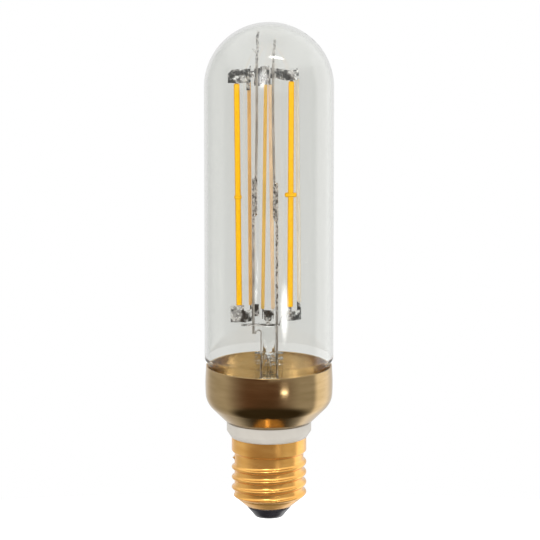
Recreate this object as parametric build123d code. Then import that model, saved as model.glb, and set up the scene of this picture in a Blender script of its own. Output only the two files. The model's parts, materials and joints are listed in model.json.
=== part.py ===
from build123d import *
import math
import os

# A tubular bulb with straight light-emitting filaments, in millimetres.
# It stands cap down on the Z axis, with the foot of its centre contact at the origin.
# Left is -X, right is +X, the front of the filament cage faces -Y.

# Glass envelope
tube_diameter = 45.0
glass_wall = 1.0
glass_step_depth = 1.1      # narrowing on the radius, just above the cup
glass_step_height = 2.1
glass_step_gap = 0.5        # from the rim of the cup up to the narrowing
glass_shoulder_lift = 2.0   # the glass shoulder hangs this far above the cup's slope
neck_diameter = 24.8
neck_depth = 3.6            # the neck reaches this far into the collar
neck_bend = 2.0
dome_headroom = 14.6        # from the left top bracket up to the inside of the dome

# Gold cup round the foot of the glass
cup_height = 20.0
cup_wall = 0.5
cup_fit = 0.1
cup_hole_gap = 0.4
cup_lip = 0.2               # the foot of the cup overhangs the collar
cup_rim_round = 0.2
cup_barrel = 0.4            # its wall swells by this much half-way up
cup_barrel_radius = 55.0
shoulder_slope = 45.0
shoulder_radius = 7.0

# White collar between cup and cap
collar_diameter = 29.6
collar_height = 5.5
collar_chamfer = 2.2
collar_foot_diameter = 26.7
spigot_wall = 1.1
spigot_depth = 9.5
neck_seat_gap = 0.3
cement_thickness = 0.6
cement_height = 2.4
slip_fit = 0.1

# Screw cap, rolled from sheet
shell_height = 25.0
shell_sheet = 0.5
skirt_diameter = 26.2
skirt_height = 5.0
skirt_slope_height = 0.9
thread_crest_diameter = 26.2
thread_root_diameter = 24.2
thread_pitch = 25.4 / 7
thread_ridge_width = 3.5
thread_crest_width = 0.8    # the ridge's narrow rounded top
thread_crest_round = 0.15   # how far the top is rounded
thread_sink = 0.25          # the ridge is rooted this deep in the sheet
thread_dip = 0.06           # its hollow flanks run out this far below the surface
thread_start = 2.0          # the ridge starts at the back, this far above the lower lip
thread_turns = 4.25
thread_fade = 1.0           # height over which the ridge fades out at each end
shell_round = 4.0           # rounding at the lower end
shell_round_slope = 40.0
lip_hole_diameter = 13.6

# Insulator and centre contact
insulator_cone_height = 3.9
insulator_foot_diameter = 9.8
insulator_top_diameter = 16.2
insulator_flange = 1.4
insulator_lap = 0.3         # its flange laps over the shell's lip
contact_proud = 0.3
contact_sunk = 0.4
contact_diameter = 7.2
rivet_diameter = 3.4
rivet_bore = 2.4
rivet_stand = 0.8           # the rivet's end above the insulator

# Glass stem
stem_diameter = 8.0
stem_wall = 0.9
flare_height = 5.0
flare_round = 6.0
flare_seat = 0.4            # the flare's rim above the end of the neck
stem_height = 19.0          # flare rim to the foot of the pinch
pinch_width = 10.0
pinch_thickness = 4.0
pinch_height = 8.5
pinch_blend = 2.5           # length over which the tube is pressed flat
pinch_corner = 1.2
pinch_mark_depth = 0.35
post_diameter = 4.4
post_height = 10.2
post_round = 0.8
exhaust_diameter = 3.0
exhaust_bore = 1.4
exhaust_port_drop = 1.6     # its side port lies this far below the top of the pinch
exhaust_tip = 1.6           # the sealed tip hangs this far below the flare's rim

# Wires
lead_diameter = 0.6
lead_x = 2.75               # both leads stand this far from the axis
lead_hook_height = 8.1      # top of the left lead's hook above the pinch
hook_roundness = 0.45       # bend of the hook as a share of its width
wire_diameter = 0.9
wire_bend = 3.6
seal_gap = 0.05             # round each wire in the glass
weld_gap = 0.05             # between parts that are spot-welded side by side
left_wire_x = -5.45         # lower left support wire
left_wire_top_x = -4.2
left_wire_tail = 3.4        # its foot hangs this far below the cross strip
right_wire_top_x = 1.4
right_wire_sunk = 3.0       # the lower right support wire reaches this far into the pinch
left_splice_height = 45.3   # middle of each lap, above the cross strip
right_splice_height = 43.6
splice_length = 13.0
left_tip_drop = 2.2         # wire tips below the inside of the dome
right_tip_drop = 5.0
tip_lean = 0.6
tip_wave = 0.45             # the left wire's end is kinked to and fro by this much
tip_wave_length = 2.4
barb_length = 1.5
barb_drop = 7.5

# Filaments: a metal strip with bare end tabs inside a phosphor coat
filament_length = 79.5
phosphor_width = 2.0
phosphor_thickness = 1.2
phosphor_round = 0.55
phosphor_end_round = 0.4
strip_width = 1.0
strip_thickness = 0.3
strip_fit = 0.02
tab_length = 3.5
bead_diameter = 1.7
bead_roundness = 0.4        # rounding of its ends as a share of its diameter
left_bead_length = 2.6
right_bead_length = 4.2

# Where each filament stands: X at its top and foot, one depth for each row
front_depth = -4.0
side_depth = 3.0
rear_depth = 5.0
left_front_top_x = -11.1
left_front_foot_x = -10.3
left_side_top_x = -6.95
right_front_top_x = 7.7
right_front_foot_x = 7.3
right_side_top_x = 9.7
right_side_foot_x = 10.6
rear_left_top_x = -1.15
rear_left_foot_x = -2.2
rear_right_top_x = 0.35
rear_right_foot_x = 1.4
left_pair_lift = 5.9        # filament feet above the cross strip
right_pair_lift = 6.7
rear_pair_lift = 4.1

# Brackets, bent from thin sheet
bracket_sheet = 0.35
bracket_bend = 0.5
bracket_gap = 0.3           # between a bracket's edge and the end of the phosphor
bracket_overhang = 1.2      # a wall runs this far past the middle of a tab
left_wall_overhang = 3.0
bracket_corner = 2.0        # the corner between two walls is cut off by this run
plate_corner = 1.6          # cut off the left top bracket's outer corner
ear_width = 1.2             # ear of a bracket before the edge of a side filament
ear_drop = 3.6              # below the left top bracket
ear_rise = 2.2              # above the right bottom bracket
ear_lap = 1.5
cover_gap = 0.15            # between sheet and the phosphor that it covers
top_left_height = 4.7
top_middle_height = 6.0
top_right_height = 3.5
bottom_left_height = 6.0
bottom_left_cover = 1.6     # its plate hides this much of the front coat's foot
clip_height = 4.4           # clip of that bracket behind the left wire
clip_cover = 0.9
clip_overhang = 1.5
bottom_right_height = 3.4
bottom_right_drop = 1.5     # its upper edge lies this much lower on the tabs
arm_height = 2.2
strip_depth = 2.2           # cross strip, front to back
strip_clearance = 0.15      # cross strip to the wires behind it
strip_left_reach = 9.7
strip_right_reach = 3.5
tongue_width = 1.0

# Driver inside the cap
board_thickness = 1.0
board_height = 12.0
board_drop = 3.0            # board's top edge below the end of the neck
fuse_diameter = 2.6
fuse_length = 6.0
fuse_end_diameter = 3.0
fuse_end_length = 1.2
fuse_tail = 2.0             # lead soldered along the board
rectifier_size = (4.8, 2.4, 3.9)
rectifier_bevel = 0.5
chip_size = (5.0, 1.5, 4.0)
chip_foot = (0.4, 0.9, 0.5)
chip_pitch = 1.27
chip_rows = 4
capacitor_diameter = 6.3
capacitor_length = 9.0
capacitor_groove = 0.4
capacitor_groove_height = 1.2
part_spread = 4.6           # parts on the board, to either side of the axis
neutral_x = 8.5
neutral_drop = 2.2

# Worked out from the values above
tube_radius = tube_diameter / 2
lower_radius = tube_radius - glass_step_depth
neck_radius = neck_diameter / 2
cup_radius = lower_radius + cup_fit + cup_wall + cup_barrel
collar_radius = collar_diameter / 2
cup_foot_radius = collar_radius + cup_lip
slope = math.radians(shoulder_slope)
root_radius = thread_root_diameter / 2
crest_radius = thread_crest_diameter / 2
shell_bore = root_radius - shell_sheet
skirt_bore = skirt_diameter / 2 - shell_sheet
spigot_radius = shell_bore - slip_fit
spigot_bore = spigot_radius - spigot_wall
stem_radius = stem_diameter / 2
wire_radius = wire_diameter / 2
lead_radius = lead_diameter / 2

lip_z = contact_proud + insulator_cone_height
cap_top_z = lip_z + shell_height
cup_foot_z = cap_top_z + collar_height
cup_rim_z = cup_foot_z + cup_height
neck_end_z = cup_foot_z - neck_depth
ledge_z = neck_end_z - neck_seat_gap
flare_z = neck_end_z + flare_seat
pinch_z = flare_z + stem_height
pinch_top_z = pinch_z + pinch_height
post_top_z = pinch_top_z + post_height
strip_top_z = post_top_z + bracket_sheet
left_foot_z = strip_top_z + left_pair_lift
left_top_z = left_foot_z + filament_length
top_left_z = left_top_z + bracket_gap
dome_inside_z = top_left_z + top_left_height + dome_headroom
dome_centre_z = dome_inside_z + glass_wall - tube_radius
board_top_z = neck_end_z - board_drop
board_foot_z = board_top_z - board_height

# The lower left wire carries the left bottom bracket, which carries the left side filament
tab_stand = strip_thickness / 2 + weld_gap + bracket_sheet / 2
left_wall_foot_x = left_wire_x - wire_radius - weld_gap - bracket_sheet / 2
left_side_foot_x = left_wall_foot_x - tab_stand
right_wire_x = lead_x

UPRIGHT = (Align.CENTER, Align.CENTER, Align.MIN)
ON_FRONT = (Align.CENTER, Align.MAX, Align.CENTER)
ON_LEFT = (Align.MIN, Align.CENTER, Align.MIN)


def turned(outline):
    """A closed outline in radius and height, turned round the bulb's axis."""
    return revolve(Plane.XZ * make_face(outline), Axis.Z)


def bowl_slope_z(radius, inset):
    """Height of the cup's slope at a radius, for a surface set in from the outside by inset."""
    return cup_foot_z + (radius - cup_foot_radius) * math.tan(slope) + inset / math.cos(slope)


def bowl(inset, top_z):
    """Solid body of the cup's outside, or of its inside where inset is its wall."""
    widest = cup_radius - inset
    narrow = widest - cup_barrel
    corner_z = bowl_slope_z(narrow, inset)
    foot_z = cup_foot_z + inset
    foot_radius = cup_foot_radius + (inset - inset / math.cos(slope)) / math.tan(slope)
    side = FilletPolyline(
        (foot_radius, foot_z),
        (narrow, corner_z),
        (widest, (corner_z + cup_rim_z) / 2),
        (narrow, top_z),
        radius=(shoulder_radius - inset, cup_barrel_radius - inset),
    )
    back = Polyline((narrow, top_z), (0, top_z), (0, foot_z), (foot_radius, foot_z))
    return turned(side + back)


def gold_cup():
    hole = Pos(0, 0, cup_foot_z) * Cylinder(neck_radius + cup_hole_gap, cup_height)
    cup = bowl(0, cup_rim_z) - bowl(cup_wall, cup_rim_z + cup_wall) - hole
    rim = cup.edges().filter_by(GeomType.CIRCLE).group_by(Axis.Z)[-1]
    return fillet(rim, cup_rim_round)


def glass_body(inset):
    """Solid body of the glass outside, or of its inside where inset is the wall."""
    tube = tube_radius - inset
    lower = lower_radius - inset
    neck = neck_radius - inset
    outer_gap = cup_wall + cup_fit + glass_shoulder_lift * math.cos(slope)
    step_angle = math.atan2(glass_step_depth, glass_step_height)
    step_z = cup_rim_z + glass_step_gap + inset * math.tan(step_angle / 2)
    end_z = neck_end_z - inset
    side = FilletPolyline(
        (neck, end_z),
        (neck, bowl_slope_z(neck, outer_gap + inset)),
        (lower, bowl_slope_z(lower, outer_gap + inset)),
        (lower, step_z),
        (tube, step_z + glass_step_height),
        (tube, dome_centre_z),
        radius=(neck_bend + inset, shoulder_radius - cup_wall - inset, neck_bend, neck_bend),
    )
    crown = (0, dome_centre_z + tube)
    shoulder_point = (tube * math.sqrt(0.5), dome_centre_z + tube * math.sqrt(0.5))
    dome = ThreePointArc((tube, dome_centre_z), shoulder_point, crown)
    back = Polyline(crown, (0, end_z), (neck, end_z))
    return turned(side + dome + back)


def glass_envelope():
    return glass_body(0) - glass_body(glass_wall)


def neck_collar():
    """Moulded collar with a seat for the neck, a step for the skirt and a spigot for the cap."""
    seat_radius = neck_radius + cement_thickness
    skirt_fit = skirt_bore - slip_fit
    skirt_end_z = cap_top_z - skirt_height + slip_fit
    spigot_end_z = cap_top_z - spigot_depth
    outline = Polyline(
        (spigot_bore, spigot_end_z),
        (spigot_radius, spigot_end_z),
        (spigot_radius, skirt_end_z),
        (skirt_fit, skirt_end_z),
        (skirt_fit, cap_top_z),
        (collar_foot_diameter / 2, cap_top_z),
        (collar_radius, cap_top_z + collar_chamfer),
        (collar_radius, cup_foot_z),
        (seat_radius, cup_foot_z),
        (seat_radius, ledge_z),
        (spigot_bore, ledge_z),
        close=True,
    )
    return turned(outline)


def neck_cement():
    """Ring of cement between the glass neck and the collar."""
    inner = neck_radius + seal_gap
    outer = neck_radius + cement_thickness - seal_gap
    ring = Cylinder(outer, cement_height) - Cylinder(inner, cement_height)
    return Pos(0, 0, neck_end_z + cement_height / 2) * ring


def shell_body(inset):
    """Solid body of the cap's outside without its thread, or of its inside."""
    skirt = skirt_diameter / 2 - inset
    root = root_radius - inset
    foot_z = lip_z + inset
    lip = insulator_top_diameter / 2
    side = FilletPolyline(
        (lip - inset, foot_z),
        (root, shell_corner_z(inset)),
        (root, cap_top_z - skirt_height - skirt_slope_height),
        (skirt, cap_top_z - skirt_height),
        (skirt, cap_top_z),
        radius=(shell_round - inset, skirt_slope_height / 2, skirt_slope_height / 2),
    )
    back = Polyline((skirt, cap_top_z), (0, cap_top_z), (0, foot_z), (lip - inset, foot_z))
    return turned(side + back)


def shell_corner_z(inset):
    """Height where the slope at the lower end would meet the upright wall."""
    rise = root_radius - insulator_top_diameter / 2
    return lip_z + inset + rise * math.tan(math.radians(shell_round_slope))


def thread_ridge():
    """Right-hand ridge with hollow flanks, which starts at the back and fades out at both ends."""
    height = thread_pitch * thread_turns
    foot_radius = root_radius - thread_sink
    half = thread_ridge_width / 2
    tip = thread_crest_width / 2
    top = crest_radius - foot_radius
    flank_foot = thread_sink - thread_dip
    flank_top = top - thread_crest_round
    start_z = lip_z + thread_start
    path = Helix(thread_pitch, height, foot_radius, center=(0, 0, start_z))
    lower = TangentArc((flank_foot, -half), (flank_top, -tip), tangent=(0, 1))
    crest = ThreePointArc((flank_top, -tip), (top, 0), (flank_top, tip))
    upper = TangentArc((flank_foot, half), (flank_top, tip), tangent=(0, -1))
    foot = Polyline((flank_foot, half), (0, half), (0, -half), (flank_foot, -half))
    outline = make_face(lower + crest + upper + foot)
    section = Plane(path @ 0, x_dir=(1, 0, 0), z_dir=path % 0) * outline
    ridge = Rot(0, 0, 90) * sweep(section, path=path, is_frenet=True)
    clear_radius = crest_radius + thread_sink
    limit = Polyline(
        (0, lip_z),
        (insulator_top_diameter / 2, lip_z),
        (root_radius, shell_corner_z(0)),
        (clear_radius, shell_corner_z(0) + thread_fade),
        (clear_radius, start_z + height - thread_fade),
        (root_radius, start_z + height),
        (0, start_z + height),
        close=True,
    )
    return ridge & turned(limit)


def cap_shell():
    hole = Pos(0, 0, lip_z) * Cylinder(lip_hole_diameter / 2, insulator_cone_height)
    return shell_body(0) - shell_body(shell_sheet) - hole + thread_ridge()


def cap_insulator():
    """Cone under the cap, held by a flange above the shell's lip, hollow for the rivet."""
    flange_radius = lip_hole_diameter / 2 + insulator_lap
    stem = lip_hole_diameter / 2 - slip_fit
    flange_z = lip_z + shell_sheet + slip_fit
    outline = Polyline(
        (rivet_diameter / 2 + slip_fit, contact_proud + contact_sunk),
        (contact_diameter / 2 + slip_fit, contact_proud + contact_sunk),
        (contact_diameter / 2 + slip_fit, contact_proud),
        (insulator_foot_diameter / 2, contact_proud),
        (insulator_top_diameter / 2, lip_z),
        (stem, lip_z),
        (stem, flange_z),
        (flange_radius, flange_z),
        (flange_radius, flange_z + insulator_flange),
        (rivet_diameter / 2 + slip_fit, flange_z + insulator_flange),
        close=True,
    )
    return turned(outline)


def centre_contact():
    """Flat rivet: its head is the contact, its hollow shank takes the fuse's lead."""
    head = contact_proud + contact_sunk
    shank_end = lip_z + shell_sheet + slip_fit + insulator_flange + rivet_stand
    shank = Cylinder(rivet_diameter / 2, shank_end - head, align=UPRIGHT)
    plate = Cylinder(contact_diameter / 2, head, align=UPRIGHT)
    bore = Cylinder(rivet_bore / 2, shank_end, align=UPRIGHT)
    return plate + Pos(0, 0, head) * shank - Pos(0, 0, head) * bore


def flare_body(inset):
    """Trumpet-shaped body of the stem's outside, or of its inside."""
    rim = neck_radius - glass_wall - seal_gap - inset
    tube = stem_radius - inset
    foot_z = flare_z - inset
    top_z = pinch_z - inset
    side = FilletPolyline((rim, foot_z), (tube, foot_z + flare_height), (tube, top_z), radius=flare_round)
    back = Polyline((tube, top_z), (0, top_z), (0, foot_z), (rim, foot_z))
    return turned(side + back)


def wire_hole(x, foot_z, top_z, diameter):
    """Hole in the glass round an upright wire."""
    return Pos(x, 0, foot_z) * Cylinder(diameter / 2 + seal_gap, top_z - foot_z, align=UPRIGHT)


def glass_stem():
    """Flare, tube, pinch, post and sealed exhaust tube with a port at the back, one piece of glass."""
    press = RectangleRounded(pinch_width, pinch_thickness, pinch_corner)
    tube_end = Plane.XY.offset(pinch_z - pinch_blend) * Circle(stem_radius)
    pressed = Plane.XY.offset(pinch_z) * press
    pinch = loft([tube_end, pressed]) + extrude(pressed, pinch_height)
    mark_size = (pinch_width / 2, pinch_mark_depth, pinch_height / 2)
    for side in (-1, 1):
        mark_y = side * (pinch_thickness - pinch_mark_depth) / 2
        pinch -= Pos(0, mark_y, pinch_z + pinch_height / 2) * Box(*mark_size)
    post = Cylinder(post_diameter / 2, post_height, align=UPRIGHT)
    post = Pos(0, 0, pinch_top_z) * fillet(post.edges().group_by(Axis.Z)[-1], post_round)
    trumpet = flare_body(0) - flare_body(stem_wall)
    tip_z = flare_z - exhaust_tip
    exhaust = Cylinder(exhaust_diameter / 2, pinch_z - tip_z, align=UPRIGHT)
    exhaust = Pos(0, 0, tip_z) * fillet(exhaust.edges().group_by(Axis.Z)[0], exhaust_bore / 2)
    bore_z = tip_z + exhaust_bore
    port_z = pinch_top_z - exhaust_port_drop
    bore = Pos(0, 0, bore_z) * Cylinder(exhaust_bore / 2, port_z - bore_z, align=UPRIGHT)
    port = Rot(-90, 0, 0) * Cylinder(exhaust_bore / 2, pinch_thickness, align=UPRIGHT)
    bore += Pos(0, 0, port_z) * port
    stem = trumpet + pinch + post + exhaust - bore
    left = wire_hole(-lead_x, flare_z, pinch_top_z, lead_diameter)
    right = wire_hole(lead_x, flare_z, pinch_top_z - right_wire_sunk, lead_diameter)
    right_top = wire_hole(right_wire_x, pinch_top_z - right_wire_sunk, pinch_top_z, wire_diameter)
    return stem - left - right - right_top


def bent_wire(points, diameter, bend):
    """Round wire along straight runs joined by bends of one radius."""
    path = FilletPolyline(*points, radius=bend)
    section = Plane(path @ 0, z_dir=path % 0) * Circle(diameter / 2)
    return sweep(section, path=path)


def lead_wire_left():
    """Lead through the pinch, hooked over beside the foot of the left support wire."""
    hook_x = left_wire_x + wire_radius + weld_gap + lead_radius
    hook_z = pinch_top_z + lead_hook_height
    tail_z = post_top_z - left_wire_tail
    points = [
        (-lead_x, 0, board_top_z + weld_gap),
        (-lead_x, 0, hook_z),
        (hook_x, 0, hook_z),
        (hook_x, 0, tail_z),
    ]
    return bent_wire(points, lead_diameter, hook_roundness * (-lead_x - hook_x))


def lead_wire_right():
    """Lead from the board up to the foot of the right support wire, inside the pinch."""
    top_z = pinch_top_z - right_wire_sunk - weld_gap
    foot_z = board_top_z + weld_gap
    lead = Cylinder(lead_radius, top_z - foot_z, align=UPRIGHT)
    return Pos(lead_x, 0, foot_z) * lead


def support_wire_left_lower():
    foot_z = post_top_z - left_wire_tail
    top_z = post_top_z + left_splice_height + splice_length / 2
    wire = Cylinder(wire_radius, top_z - foot_z, align=UPRIGHT)
    return Pos(left_wire_x, 0, foot_z) * wire


def support_wire_right_lower():
    foot_z = pinch_top_z - right_wire_sunk
    top_z = post_top_z + right_splice_height + splice_length / 2
    wire = Cylinder(wire_radius, top_z - foot_z, align=UPRIGHT)
    return Pos(right_wire_x, 0, foot_z) * wire


def support_wire_left_upper():
    """Lapped on the lower wire at its foot, with a barb and a kinked tip in the dome."""
    lap_x = left_wire_x + wire_diameter + weld_gap
    lap_z = post_top_z + left_splice_height
    tip_z = dome_inside_z - left_tip_drop
    barb_z = tip_z - barb_drop
    points = [
        (lap_x, 0, lap_z - splice_length / 2),
        (lap_x, 0, lap_z + splice_length / 2),
        (left_wire_top_x, 0, top_left_z - splice_length),
        (left_wire_top_x, 0, barb_z),
        (left_wire_top_x + tip_wave, 0, barb_z + tip_wave_length),
        (left_wire_top_x, 0, barb_z + 2 * tip_wave_length),
        (left_wire_top_x + tip_lean, 0, tip_z),
    ]
    wire = bent_wire(points, wire_diameter, wire_bend)
    barb_path = Line((left_wire_top_x, 0, barb_z), (left_wire_top_x - barb_length, 0, barb_z + barb_length))
    barb = sweep(Plane(barb_path @ 0, z_dir=barb_path % 0) * Circle(lead_radius), path=barb_path)
    return wire + barb


def support_wire_right_upper():
    """Lapped on the lower wire at its foot, leaning a little above the bracket."""
    lap_x = right_wire_x - wire_diameter - weld_gap
    lap_z = post_top_z + right_splice_height
    tip_z = dome_inside_z - right_tip_drop
    points = [
        (lap_x, 0, lap_z - splice_length / 2),
        (lap_x, 0, lap_z + splice_length / 2),
        (right_wire_top_x, 0, top_left_z - splice_length),
        (right_wire_top_x, 0, top_left_z + top_left_height),
        (right_wire_top_x + tip_lean, 0, tip_z),
    ]
    return bent_wire(points, wire_diameter, wire_bend)


class Filament:
    """One straight filament between two points, its flat side lying along across."""

    def __init__(self, name, foot, top, across, bead=0):
        self.name = name
        self.foot = Vector(*foot)
        self.top = Vector(*top)
        self.along = (self.top - self.foot).normalized()
        self.length = (self.top - self.foot).length
        self.plane = Plane(self.foot, x_dir=across, z_dir=self.along)
        self.bead = bead

    def tab_x(self, end):
        """Least and greatest X along the middle of the top or the foot tab."""
        start = self.top if end == "top" else self.foot
        reach = tab_length if end == "top" else -tab_length
        spread = (start.X, (start + self.along * reach).X)
        return min(spread), max(spread)

    def bar(self, width, thickness, extra):
        size = (width, thickness, self.length + 2 * extra)
        return Pos(0, 0, self.length / 2) * Box(*size)

    def strip(self):
        return self.plane * self.bar(strip_width, strip_thickness, tab_length)

    def phosphor(self):
        section = RectangleRounded(phosphor_width, phosphor_thickness, phosphor_round)
        coat = extrude(section, self.length)
        ends = coat.edges().group_by(Axis.Z)
        coat = fillet(ends[0] + ends[-1], phosphor_end_round)
        if self.bead:
            bead = Cylinder(bead_diameter / 2, self.bead)
            bead = fillet(bead.edges().filter_by(GeomType.CIRCLE), bead_diameter * bead_roundness)
            coat += Pos(0, 0, self.length / 2) * Rot(0, 90, 0) * bead
        slot = self.bar(strip_width + 2 * strip_fit, strip_thickness + 2 * strip_fit, tab_length)
        return self.plane * (coat - slot)


def filaments():
    """Left and right pairs, each with one filament edge-on, and a rear pair that leans together."""
    rows = (
        ("left_front", left_front_foot_x, left_front_top_x, front_depth, left_pair_lift, left_bead_length),
        ("left_side", left_side_foot_x, left_side_top_x, side_depth, left_pair_lift, 0),
        ("rear_left", rear_left_foot_x, rear_left_top_x, rear_depth, rear_pair_lift, 0),
        ("rear_right", rear_right_foot_x, rear_right_top_x, rear_depth, rear_pair_lift, 0),
        ("right_front", right_front_foot_x, right_front_top_x, front_depth, right_pair_lift,
         right_bead_length),
        ("right_side", right_side_foot_x, right_side_top_x, side_depth, right_pair_lift, 0),
    )
    made = {}
    for name, foot_x, top_x, depth, lift, bead in rows:
        foot_z = strip_top_z + lift
        across = (1, 0, 0) if depth == front_depth else (0, 1, 0)
        foot = (foot_x, depth, foot_z)
        top = (top_x, depth, foot_z + filament_length)
        made[name] = Filament(name, foot, top, across, bead)
    return made


def folded(points, foot_z, height):
    """Sheet stood on edge and folded along a plan line."""
    plan = FilletPolyline(*points, radius=bracket_bend)
    return Pos(0, 0, foot_z) * extrude(trace(plan, bracket_sheet), height)


def ear(wall_x, top_z, height):
    """Narrow strip that stands out from a side wall, before the edge of its filament."""
    front_y = side_depth - phosphor_width / 2 - cover_gap
    return Pos(wall_x, front_y, top_z) * Box(ear_width, bracket_sheet, height, align=Align.MAX)


def top_bracket_left(cage):
    """Wall before the front tab, wall beside the side tab with an ear on it, and an arm to the wire."""
    front_y = front_depth - tab_stand
    end_x = left_front_top_x - left_wall_overhang
    side_x = cage["left_side"].tab_x("top")[1] + tab_stand
    top_z = top_left_z + top_left_height
    points = [
        (end_x, front_y),
        (side_x - bracket_corner, front_y),
        (side_x, front_y + bracket_corner),
        (side_x, side_depth + bracket_overhang),
    ]
    arm_end = left_wire_top_x - wire_radius - weld_gap
    arm = Box(arm_end - side_x, bracket_sheet, arm_height, align=ON_LEFT)
    arm_z = top_left_z + (top_left_height - arm_height) / 2
    cut = Polyline((end_x, top_z - plate_corner), (end_x + plate_corner, top_z), (end_x, top_z), close=True)
    corner = extrude(Plane.XZ * make_face(cut), -front_y + bracket_sheet)
    walls = folded(points, top_left_z, top_left_height) - corner
    return walls + Pos(side_x, 0, arm_z) * arm + ear(side_x, top_left_z + ear_lap, ear_drop + ear_lap)


def top_bracket_middle(cage):
    """From behind the left wire back to a narrow fold that holds the two rear tabs."""
    wall_y = wire_radius + weld_gap + bracket_sheet / 2
    left_x = cage["rear_left"].tab_x("top")[1] + tab_stand
    right_x = cage["rear_right"].tab_x("top")[0] - tab_stand
    back_y = rear_depth + bracket_overhang
    front_y = rear_depth - bracket_overhang
    turn_x = cage["rear_left"].top.X - phosphor_thickness
    foot_z = strip_top_z + rear_pair_lift + filament_length + bracket_gap
    arm = Polyline(
        (left_wire_top_x - wire_diameter, wall_y),
        (left_wire_top_x + wire_diameter, wall_y),
        (turn_x, back_y),
        (left_x, back_y),
    )
    fold = Polyline((left_x, back_y), (left_x, front_y), (right_x, front_y), (right_x, back_y))
    sheet = trace(arm, bracket_sheet) + trace(fold, bracket_sheet)
    return Pos(0, 0, foot_z) * extrude(sheet, top_middle_height)


def top_bracket_right(cage):
    """From behind the right wire forward to the front tab, then back to the side tab."""
    wall_y = wire_radius + weld_gap + bracket_sheet / 2
    front_y = front_depth + tab_stand
    front_x = cage["right_front"].top.X
    side_x = cage["right_side"].tab_x("top")[1] + tab_stand
    points = [
        (right_wire_top_x - wire_diameter, wall_y),
        (right_wire_top_x + wire_diameter, wall_y),
        (front_x - bracket_corner, front_y),
        (front_x + bracket_overhang, front_y),
        (side_x, front_y + bracket_corner),
        (side_x, side_depth + bracket_overhang),
    ]
    foot_z = strip_top_z + right_pair_lift + filament_length + bracket_gap
    return folded(points, foot_z, top_right_height)


def bottom_bracket_left():
    """Plate dimpled onto the front tab, wall between the side tab and the wire, clip behind the wire."""
    front_y = front_depth - phosphor_thickness / 2 - cover_gap - bracket_sheet / 2
    end_x = left_front_foot_x - left_wall_overhang
    turn_x = left_wall_foot_x - bracket_corner
    foot_z = left_foot_z + bottom_left_cover - bottom_left_height
    points = [
        (end_x, front_y),
        (turn_x, front_y),
        (left_wall_foot_x, front_y + bracket_corner),
        (left_wall_foot_x, side_depth + bracket_overhang),
    ]
    walls = folded(points, foot_z, left_foot_z - bracket_gap - foot_z)
    plate_width = turn_x - bracket_bend - end_x
    plate = Box(plate_width, bracket_sheet, bottom_left_height, align=ON_LEFT)
    dimple_depth = front_depth - strip_thickness / 2 - weld_gap - front_y
    dimple = Rot(-90, 0, 0) * Cylinder(strip_width / 2, dimple_depth, align=UPRIGHT)
    clip_y = wire_radius + weld_gap + bracket_sheet / 2
    clip_width = left_wire_x + wire_radius + clip_overhang - left_wall_foot_x
    clip = Box(clip_width, bracket_sheet, clip_height, align=ON_LEFT)
    walls += Pos(end_x, front_y, foot_z) * plate
    walls += Pos(left_front_foot_x, front_y, left_foot_z - tab_length / 2) * dimple
    return walls + Pos(left_wall_foot_x, clip_y, left_foot_z + clip_cover - clip_height) * clip


def bottom_right_arm_x(cage):
    return cage["right_front"].foot.X - bracket_overhang


def bottom_bracket_right(cage):
    """Wall on the cross strip's arm, wall behind the front foot, wall with an ear beside the side foot."""
    front_y = front_depth + tab_stand
    side_x = cage["right_side"].tab_x("foot")[1] + tab_stand
    arm_x = bottom_right_arm_x(cage)
    top_z = strip_top_z + right_pair_lift - bottom_right_drop
    points = [
        (arm_x, 0),
        (arm_x, front_y),
        (cage["right_front"].foot.X + bracket_overhang, front_y),
        (side_x, front_y + bracket_corner),
        (side_x, side_depth + bracket_overhang),
    ]
    walls = folded(points, top_z - bottom_right_height, bottom_right_height)
    return walls + ear(side_x, top_z + ear_rise, ear_rise + ear_lap)


def strip_back_y():
    """Back edge of the cross strip, just before the two support wires."""
    return -wire_radius - strip_clearance


def cross_strip(cage):
    """Flat strip on the stem's post, with an arm that rises to the right bottom bracket."""
    arm_end = bottom_right_arm_x(cage) - bracket_sheet / 2 - weld_gap
    middle_z = post_top_z + bracket_sheet / 2
    arm_z = strip_top_z + right_pair_lift - bottom_right_drop - bottom_right_height / 2
    line = Polyline(
        (-strip_left_reach, middle_z),
        (strip_right_reach, middle_z),
        ((strip_right_reach + arm_end) / 2, arm_z),
        (arm_end, arm_z),
    )
    strip = extrude(Plane.XZ * trace(line, bracket_sheet), strip_depth)
    return Pos(0, strip_back_y(), 0) * strip


def bottom_bracket_middle(cage):
    """Fold between the two rear feet, closed at its front, with a tongue that lies on the cross strip."""
    left_x = cage["rear_left"].tab_x("foot")[1] + tab_stand
    right_x = cage["rear_right"].tab_x("foot")[0] - tab_stand
    middle_z = strip_top_z + bracket_sheet / 2
    top_z = strip_top_z + rear_pair_lift - bracket_gap
    inset = bracket_sheet
    corners = ((left_x, top_z), (left_x + inset, middle_z), (right_x - inset, middle_z), (right_x, top_z))
    line = FilletPolyline(*corners, radius=bracket_bend)
    fold = extrude(Plane.XZ * trace(line, bracket_sheet), 2 * bracket_overhang)
    fold = Pos(0, rear_depth + bracket_overhang, 0) * fold
    web = extrude(Plane.XZ * make_face(Polyline(*corners, close=True)), bracket_sheet)
    fold += Pos(0, rear_depth - bracket_overhang + bracket_sheet, 0) * web
    tongue_y = strip_back_y() - strip_depth
    tongue = Box(
        tongue_width,
        rear_depth - tongue_y,
        bracket_sheet,
        align=(Align.CENTER, Align.MIN, Align.MIN),
    )
    return fold + Pos((left_x + right_x) / 2, tongue_y, strip_top_z) * tongue


def driver_board():
    half_width = math.sqrt((spigot_bore - slip_fit) ** 2 - (board_thickness / 2) ** 2)
    board = Box(2 * half_width, board_thickness, board_height)
    return Pos(0, 0, board_foot_z + board_height / 2) * board


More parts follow.
